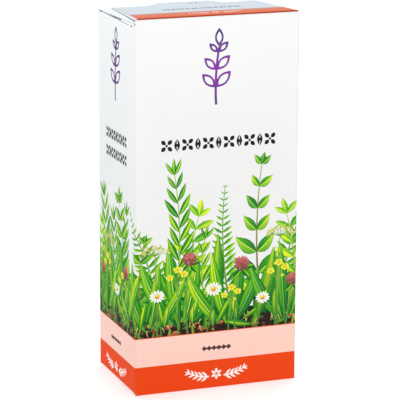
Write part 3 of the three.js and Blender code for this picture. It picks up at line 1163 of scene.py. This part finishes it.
def paint_garland(centre, width, height, colour):
    """Two leafy sprays in one ink, which meet at a small flower."""
    centre = Vector(centre)
    shapes = []
    for k in range(6):
        way = heading(math.pi * (k / 3 + 0.5))
        petal_foot, petal_tip = centre + way * 0.05 * height, centre + way * 0.32 * height
        shapes.append(ink(leaf_outline(petal_foot, petal_tip, 0.16 * height, 8), colour))
    start = centre + Vector((0.42 * height, -0.12 * height))
    stalk = bowed(start, centre + Vector((width / 2, 0.16 * height)), -0.07, 12)
    spray = leaves_along(
        stalk, leaves=5, corners=14, seed=3, bare_foot=0.08, stagger=0.0, leaf_length=0.44 * height,
        leaf_width=0.14, belly=0.2, droop=0.08, lean=0.76, tip_size=0.66, uneven=0.0,
    )
    spray.append(drawn_line(stalk, 0.09 * height, 0.06 * height, colour).outline)
    for outline in spray:
        shapes.append(ink(outline, colour))
        shapes.append(ink([(2 * centre.x - p.x, p.y) for p in outline], colour))
    return shapes


def wall_print():
    """Everything printed on the four walls, each shape over the ones before it."""
    low_u, high_u = -(SIDE_SPAN + BACK_SPAN) - 2, FRONT_SPAN + SIDE_SPAN + 2
    shapes = [paper(rectangle(low_u, PINK_TOP, high_u, FRONT_TOP + 1))]
    shapes += paint_meadow()
    shapes.append(ink(rectangle(low_u, ORANGE_TOP, high_u, PINK_TOP), PINK))
    shapes.append(ink(rectangle(low_u, PINK_TOP - LINE_BELOW, high_u, PINK_TOP + LINE_ABOVE), PINK_LINE))
    shapes.append(ink(rectangle(low_u, -1, high_u, ORANGE_TOP), ORANGE))
    for middle in WIDE_MIDDLES:
        shapes += paint_row((middle, SMALL_ROW_HEIGHT), width=12.5, height=2.4, colour=BROWN)
        shapes += paint_garland((middle, 6.4), width=25, height=8.2, colour=CREAM)
        shapes += paint_twig((middle - 0.8, 126.5), height=32, stroke=1.35, middle_ink=VIOLET_MIDDLE)
        shapes += paint_row((middle + 0.5, 110.0), width=52, height=5.3)
    for middle in NARROW_MIDDLES:
        shapes += paint_row((middle, SMALL_ROW_HEIGHT), width=12.5, height=2.4, colour=BROWN)
        shapes += paint_garland((middle, 5.9), width=24, height=7.8, colour=CREAM)
        shapes += paint_twig((middle + 0.6, 125.9), height=31.8, stroke=1.4, middle_ink=SIDE_VIOLET)
        for row_v in (110.3, 102.2):
            shapes += paint_row((middle + 1.5, row_v), width=26.4, height=5.0, count=7)
    return shapes


def other_end(points):
    """The same part of the front wall's outline at its right edge."""
    return [(FRONT_SPAN - u, v) for u, v in reversed(points)]


WALL_PRINT = wall_print()
front_foot = [
    (-WALL_SEAM, 2 * BOARD), (0, 2 * BOARD), (0, 0), (FOOT_CUT, 0), (FOOT_CUT, BEND + WALL_STRIP),
]
front_head = [
    (CORNER_CUT, FRONT_TOP), (CORNER_CUT, CORNER_LOW), (-CORNER_OUT, CORNER_LOW), (-CORNER_OUT, SIDE_CREASE),
    (-WALL_SEAM, SIDE_CREASE),
]
front_outline = front_foot + other_end(front_foot) + other_end(front_head) + front_head
front_wall = board_piece("front_wall", walls, front_outline, WALL_PRINT, stands_for=["front_panel"])
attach(front_wall, "carton")

# The two side walls: plain rectangles of the same printed sheet, round the corners from the front
# wall. Each is creased at its top, where its dust flap turns in, and stands a little higher at the
# back corner, past the end of that crease.
DUST_BACK = 23.3
DUST_FRONT = -21.4
DUST_FRONT_EDGE = -23.9
CORNER_TOP = SIDE_TOP - 0.3


def side_outline(front_u, back_u):
    """A side wall from near its front corner to near its back one. front_u and back_u are the
    sheet's places of those two edges."""
    way = 1 if back_u > front_u else -1
    corner_u = front_u - way * WALL_SEAM

    def place_u(y):
        return corner_u + way * (y + HALF_DEPTH - BEND + ARC / 2)

    dust_back = place_u(DUST_BACK)
    bottom_low, bottom_high = place_u(-BOTTOM_DUST_HALF_WIDTH), place_u(BOTTOM_DUST_HALF_WIDTH)
    bottom = 2 * BOARD
    strip = bottom + BEND + WALL_STRIP
    return [
        (front_u, bottom), (bottom_low, bottom), (bottom_low, strip), (bottom_high, strip),
        (bottom_high, bottom), (back_u, bottom), (back_u, CORNER_TOP), (dust_back, CORNER_TOP),
        (dust_back, SIDE_CREASE), (front_u, SIDE_CREASE),
    ]


left_outline = side_outline(-WALL_SEAM, -SIDE_SPAN + WALL_SEAM)
left_wall = board_piece("left_wall", walls, left_outline[::-1], WALL_PRINT, stands_for=["left_panel"])
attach(left_wall, "carton")
right_outline = side_outline(FRONT_SPAN + WALL_SEAM, walls.end)
right_wall = board_piece("right_wall", walls, right_outline, WALL_PRINT, stands_for=["right_panel"])
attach(right_wall, "carton")

# The back wall: the printed sheet's last panel but one. It ends in the glue flap, which is bent in
# at the back right corner and glued inside the right wall.
GLUE_LOW = 8.0
GLUE_HIGH = 145.0
GLUE_SLANT = 5.0
back_low = -SIDE_SPAN - BACK_SPAN
back_high = -SIDE_SPAN + WALL_SEAM
glue_crease, back_edge = back_low - ARC / 2, back_low + ARC / 2
glue_edge = glue_crease - GLUE_WIDTH + BEND
back_strip = BOARD + BEND + WALL_STRIP
back_outline = [
    (glue_edge, GLUE_LOW + GLUE_SLANT), (glue_crease, GLUE_LOW), (back_edge, BOARD),
    (back_edge + 0.2, BOARD), (back_edge + 0.2, back_strip),
    (-SIDE_SPAN - FOOT_CUT, back_strip), (-SIDE_SPAN - FOOT_CUT, BOARD),
    (-SIDE_SPAN, BOARD), (-SIDE_SPAN, 2 * BOARD), (back_high, 2 * BOARD),
    (back_high, CORNER_TOP), (-SIDE_SPAN, SIDE_TOP), (back_edge, SIDE_TOP),
    (glue_crease, GLUE_HIGH), (glue_edge, GLUE_HIGH - GLUE_SLANT),
]
back_wall = board_piece("back_wall", walls, back_outline, WALL_PRINT, stands_for=["back_panel", "glue_flap"])
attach(back_wall, "carton")

# The dust flaps: they turn in from the side walls under the lid. In front each one climbs from its
# crease to the lid and fills the gap below it, and at the back it lies flat. A slit near the
# crease lets the lid's shoulders in. The grey score lines, the slit's dark lips, a line under the
# lid's edge and the dark notches at the ends of the slit and crease are painted shade; the notches are not
# cut.
DUST_REACH = 29.5
DUST_SOFT = 0.4
SOFTENED = [DUST_SOFT * k / 2 for k in (-2, -1, 0, 1, 2)]
FIRST_TURN, SECOND_TURN, LID_TURN = 0.75, 1.95, 4.6
TURN_INSET = 0.12
CREASE_FRONT, CREASE_RISE = 161.5, 0.5
STEP_FRONT, STEP_FALL = 1.45, 1.2
DUST_END = (8.5, 161.3)
LID_TOP = 165.0
LID_DROP = 2.3
LID_DEPTH = 48.2
LID_INSET_FRONT = 0.5
LID_EDGE_GAP = 0.5
LID_UNDER_GAP = 0.08
SLIT_END = -6.6
SLIT_WIDEST = 3.0
SLIT_LIP = 0.13
SHOULDER = 4.2
SHOULDER_BACK = 20.5
SLANT_START = 5.4
TIP_FRONT, TIP_BACK = -7.5, 18.5
FLAP_LIGHTENED_WHITE = (255, 255, 255)
SCORE_SHADE_GREY = (186, 182, 179)
LID_SHADOW_GREY = (172, 168, 164)
SCORE_DEEP_SHADE = (112, 108, 105)
PULP_AND_SHADOW = (74, 60, 50)
NOTCH_SHADOW = (20, 17, 16)


def lid_inset(y, inset_back):
    """How far the lid's side edge lies in from the wall, from its front to its back."""
    return LID_INSET_FRONT + (inset_back - LID_INSET_FRONT) * (y + HALF_DEPTH) / LID_DEPTH


class DustSheet:
    """A dust flap, whose section changes from its front end to its back one. A point of the flat
    sheet is a distance from the wall's top and a place along the crease."""

    end = DUST_REACH
    marks = [turn + offset for turn in (FIRST_TURN, SECOND_TURN, LID_TURN) for offset in SOFTENED]

    def __init__(self, side, inset_back):
        self.side = side
        self.inset_back = inset_back

    def section(self, y):
        """The turns of the flap's section, as (distance, how far out, height)."""
        share = (y + HALF_DEPTH) / LID_DEPTH
        crease = CREASE_FRONT + CREASE_RISE * share
        lid_edge = HALF_WIDTH - lid_inset(y, self.inset_back)
        lid_under = LID_TOP - LID_DROP * share - BOARD
        return (
            (0, HALF_WIDTH, SIDE_CREASE), (FIRST_TURN, HALF_WIDTH, crease),
            (SECOND_TURN, HALF_WIDTH - TURN_INSET, crease + STEP_FRONT - STEP_FALL * share),
            (LID_TURN, lid_edge - LID_EDGE_GAP, lid_under - LID_UNDER_GAP), (DUST_REACH, *DUST_END),
        )

    def at(self, distance, across, depth):
        """A point's place in space. The section is softened at its turns."""
        y = -self.side * across
        knots = self.section(y)

        def line(along):
            k = 0
            while k < len(knots) - 2 and along > knots[k + 1][0]:
                k += 1
            share = (along - knots[k][0]) / (knots[k + 1][0] - knots[k][0])
            return Vector(knots[k][1:]).lerp(Vector(knots[k + 1][1:]), share)

        spots = [line(distance + offset) for offset in SOFTENED]
        ahead = (spots[-1] - spots[0]).normalized()
        out, height = sum(spots, Vector((0, 0))) / len(spots) - Vector((ahead.y, -ahead.x)) * depth
        return Vector((self.side * out, y, height))

    def bend_nearness(self, distance):
        """The flap has no print to crack, and no painted bend shade, at its turns."""
        return 0.0


def redrawn(shapes, move):
    """The same inked shapes with all their points moved."""
    return [
        ink(map(move, s.outline), s.first, s.second, s.start and move(s.start), s.end and move(s.end))
        for s in shapes
    ]


def mirrored(point):
    """The same point of the flat sheet for the flap on the other side."""
    return Vector((point[0], -point[1]))


def painted_notch(distance, y, length):
    """A small notch along the crease, painted as a dark spot of shade: the board is not cut there."""
    turns = [2 * math.pi * k / 10 for k in range(10)]
    return ink([(distance + 0.36 * math.sin(t), y + length / 2 * math.cos(t)) for t in turns], NOTCH_SHADOW)


def lid_edge_shadow(inset_back):
    """A painted shadow line on the flap's slope, under where the lid's edge rests over it."""
    outer, inner = [], []
    for y in range(-24, 25, 4):
        inset = lid_inset(y, inset_back)
        share = (inset - TURN_INSET) / (inset + LID_EDGE_GAP - TURN_INSET)
        under_edge = SECOND_TURN + (LID_TURN - SECOND_TURN) * share
        outer.append((under_edge - 0.1, y))
        inner.append((under_edge + 0.9, y))
    return ink(outer + inner[::-1], SCORE_SHADE_GREY, LID_SHADOW_GREY, (0, HALF_DEPTH), (0, -HALF_DEPTH))


for side_name, side, inset_back in (("left", -1, 6.1), ("right", 1, 1.8)):
    sheet = DustSheet(side, inset_back)
    slit = [
        (1.5, DUST_BACK), (2.05, SLIT_WIDEST), (1.8, SLIT_END),
        (1.4, SLIT_END), (0.9, SLIT_WIDEST), (1.25, DUST_BACK),
    ]
    outline = [
        (0, DUST_FRONT_EDGE), (SLANT_START, DUST_FRONT_EDGE), (sheet.end, TIP_FRONT), (sheet.end, TIP_BACK),
        (SHOULDER + 1, SHOULDER_BACK), (SHOULDER, DUST_BACK), *slit, (0, DUST_BACK),
    ]
    shadowed_lips = [(d + SLIT_LIP if k < 3 else d - SLIT_LIP, y) for k, (d, y) in enumerate(slit)]
    marks = [
        # Painted light: the flap is inked brighter than the board's paper white, to lift its dimmer slope
        ink(rectangle(-1, -30, PRINT_REACH, 30), FLAP_LIGHTENED_WHITE),
        # Painted shade: grey score lines along the crease and beside the slit, darker along one stretch
        ink(rectangle(0.62, DUST_FRONT, 0.92, DUST_BACK - 1), SCORE_SHADE_GREY),
        ink(rectangle(0.6, -17, 0.94, -4), SCORE_DEEP_SHADE),
        ink(rectangle(1.88, DUST_FRONT_EDGE - 1, 2.1, SLIT_END), SCORE_SHADE_GREY),
        # Painted shadow under the lid's edge
        lid_edge_shadow(inset_back),
        # The slit's lips: brown pulp of the cut, inked darker as painted shadow inside the slit
        ink(shadowed_lips, PULP_AND_SHADOW),
        # Painted shade: dark spots for the notches, where the board is not cut
        painted_notch(1.6, SLIT_END - 0.4, 2.0), painted_notch(0.75, DUST_FRONT, 2.0), painted_notch(0.85, 20.4, 3.2),
    ]
    if side > 0:
        outline = list(map(mirrored, reversed(outline)))
        marks = redrawn(marks, mirrored)
    twist_lines = [((-1, y), (DUST_REACH + 1, y)) for y in range(-20, 22, 4)]
    flap = board_piece(
        f"dust_{side_name}", sheet, outline, marks, twist_lines, stands_for=[f"dust_flap_{side_name}"]
    )
    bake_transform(flap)

# The lid: a printed panel of the same board, hinged on the front wall's crease. It falls a little
# to the back, and is narrower there than in front. Its back fold stands up along the middle, where
# the tuck flap presses on the back wall.
# On the lid the paper is inked greyer and bluer as painted shade, the orange band lighter and pinker towards
# the back as painted sheen, and the strip by the front fold darker as painted shade.
LID_FALL = 2.73
LID_LENGTH = 48.26
TUCK_TURN = 103.27
TUCK_LENGTH = 12.8
LID_FRONT = 37.0
LID_BACK_LEFT = -31.4
LID_BACK_RIGHT = 35.7
LID_SEAM = 1.2
LID_BAND = 16.4
FOLD_BAND = 1.6
LID_SHADED_PAPER = (226, 231, 235)
FOLD_SHADE_ORANGE, FOLD_SHADE_BACK = (176, 44, 6), (200, 70, 30)
BAND_SHEEN_FRONT, BAND_SHEEN_BACK = (250, 108, 62), (232, 150, 128)
BAND_LINE = (206, 178, 180)
LID_CREAM = (255, 240, 232)
LID_GREY = (78, 76, 84)
LID_VIOLET = (110, 96, 120)
SWELL_HEIGHT = 1.05
SWELL_REACH = 17.0
SWELL_BELOW = 9
SWELL_RISE, SWELL_FALL = (-15.5, -10), (12.5, 20)
DIP_DEPTH = 0.14
DIP_START, DIP_END = (18, 24), (25, 31)
SWELL_LINES = (-15.5, -14, -13, -12, -11, -10, -8, -4, 0, 4, 8, 10, 12, 14, 16, 18, 20, 22, 25, 28, 31)
SWELL_ROWS = (17, 14, 11, 8.5, 6, 3.5)

front_tangent = BEND * math.tan(math.radians(90 + LID_FALL) / 2)
back_tangent = BEND * math.tan(math.radians(TUCK_TURN) / 2)
front_run = LID_TOP - front_tangent - FRONT_TOP
lid_run = LID_LENGTH - front_tangent - back_tangent
lid_sheet = FoldedSheet(
    (0, -HALF_DEPTH, FRONT_TOP), (0, 0, 1), (0, -1, 0),
    front_run, (90 + LID_FALL, BEND), lid_run, (TUCK_TURN, BEND), TUCK_LENGTH,
)
lid_bend, tuck_bend = lid_sheet.bends
middle_bend = sum(lid_bend) / 2
lid_end = tuck_bend[0] - LID_SEAM


def smooth(value, low, high):
    """An even step from 0 at the low value to 1 at the high one."""
    share = max(0.0, min(1.0, (value - low) / (high - low)))
    return share * share * (3 - 2 * share)


def swell(distance, across):
    """How much the lid stands up at a point of its sheet."""
    x = -across
    ridge = smooth(x, *SWELL_RISE) * (1 - smooth(x, *SWELL_FALL))
    ridge -= DIP_DEPTH * smooth(x, *DIP_START) * (1 - smooth(x, *DIP_END))
    reach = smooth(distance, tuck_bend[0] - SWELL_REACH, tuck_bend[0])
    down = 1 - smooth(distance, tuck_bend[1], tuck_bend[1] + SWELL_BELOW)
    return SWELL_HEIGHT * ridge * reach * down


def laid(point):
    """A point drawn as the lid is seen from the front, on the lid's sheet, whose distance runs
    backwards and whose across runs to the left."""
    return Vector((point.y, -point.x))


def edge_x(distance, front, back):
    """The place of the lid's side edge, which slants from a front place to a back one."""
    return front + (back - front) * max(0.0, distance - middle_bend) / (tuck_bend[0] - middle_bend)


def lid_strip(low, high, first, second=None):
    """A strip of ink right across the lid, which may change from its front edge to its back one."""
    return ink(rectangle(-PRINT_REACH, low, PRINT_REACH, high), first, second, (0, low), (0, high))


def lid_margin(front_x, back_x, colour):
    """The lid's left margin, whose edge slants like the lid's own."""
    return ink([
        (-PRINT_REACH, middle_bend), (front_x, middle_bend), (back_x, lid_sheet.end),
        (-PRINT_REACH, lid_sheet.end),
    ], colour)


front_half = HALF_WIDTH - BEND - (CORNER_CUT - ARC / 2)
lid_outline = [
    (0, -front_half), (lid_bend[1], -LID_FRONT), (lid_end, -edge_x(lid_end, LID_FRONT, LID_BACK_RIGHT)),
    (lid_end, -edge_x(lid_end, -LID_FRONT, LID_BACK_LEFT)), (lid_bend[1], LID_FRONT), (0, front_half),
]
score_start, score_end = tuck_bend[0] - SWELL_REACH - 1, tuck_bend[1] + SWELL_BELOW + 1
swell_scores = [((score_start, -x), (score_end, -x)) for x in SWELL_LINES]
swell_scores += [((tuck_bend[0] - d, -30), (tuck_bend[0] - d, 34)) for d in SWELL_ROWS]
band_start, band_end = middle_bend - 0.25, middle_bend + LID_BAND
fold_back = middle_bend + FOLD_BAND
fold_shade_strip = rectangle(-PRINT_REACH, band_start, PRINT_REACH, fold_back)
lid_print = redrawn([
    # Painted shade: the lid's white board inked blue-grey, as its upward face is less lit
    lid_strip(middle_bend, lid_sheet.end, LID_SHADED_PAPER),
    lid_strip(band_end - 0.5, band_end + 0.7, BAND_LINE),
    # Painted sheen: the orange band is inked lighter and pinker towards the back, like a grazing reflection
    lid_strip(band_start, band_end, BAND_SHEEN_FRONT, BAND_SHEEN_BACK),
    # Painted shade: a darker orange strip along the front fold, easing to the band's colour behind it
    ink(fold_shade_strip, FOLD_SHADE_ORANGE, FOLD_SHADE_BACK, (0, middle_bend), (0, fold_back)),
    # A thin grey line at the margin's inner edge, drawn like the painted shade of a faint score
    lid_margin(-35.7, -28.8, SCORE_SHADE_GREY),
    lid_margin(-36.0, -29.1, PAPER),
    *paint_garland((3, middle_bend + 10.6), width=21, height=6.6, colour=LID_CREAM),
    *paint_row((3, middle_bend + 27.8), width=36, height=3.8, colour=LID_GREY),
    *paint_row((4, middle_bend + 41.5), width=4.5, height=1.5, colour=LID_VIOLET, count=3),
], laid)
lid = board_piece("lid", lid_sheet, lid_outline, lid_print, swell_scores, swell, ["lid_panel"])
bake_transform(lid)

# The tuck flap: the lid's unprinted end, folded down at a crease and tucked in behind the back
# wall, with rounded corners so that it slides in.
TUCK_HALF_WIDTH = 34.2
TUCK_CORNER = 6.0
CORNER_STEPS = 6
fold_end = tuck_bend[1]
tuck_end = lid_sheet.end


def tuck_side(side, back_x):
    """One end of the flap, from the lid's seam down to its rounded corner, as (distance, x)."""
    points = [
        (lid_end, edge_x(lid_end, side * LID_FRONT, back_x)), (fold_end + 0.8, back_x),
        (fold_end + 2.4, side * TUCK_HALF_WIDTH), (tuck_end - TUCK_CORNER, side * TUCK_HALF_WIDTH),
    ]
    for k in range(1, CORNER_STEPS + 1):
        turn = math.pi / 2 * k / CORNER_STEPS
        points.append((
            tuck_end - TUCK_CORNER + TUCK_CORNER * math.sin(turn),
            side * (TUCK_HALF_WIDTH - TUCK_CORNER + TUCK_CORNER * math.cos(turn)),
        ))
    return [(d, -x) for d, x in points]


tuck_outline = tuck_side(1, LID_BACK_RIGHT) + tuck_side(-1, LID_BACK_LEFT)[::-1]
tuck_flap = board_piece("tuck", lid_sheet, tuck_outline, (), swell_scores, swell, ["tuck_flap"])
tuck_start = lid_sheet.at(tuck_bend[0], 0, 0) * MM
tuck_finish = lid_sheet.at(tuck_bend[1], 0, 0) * MM
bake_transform(tuck_flap)
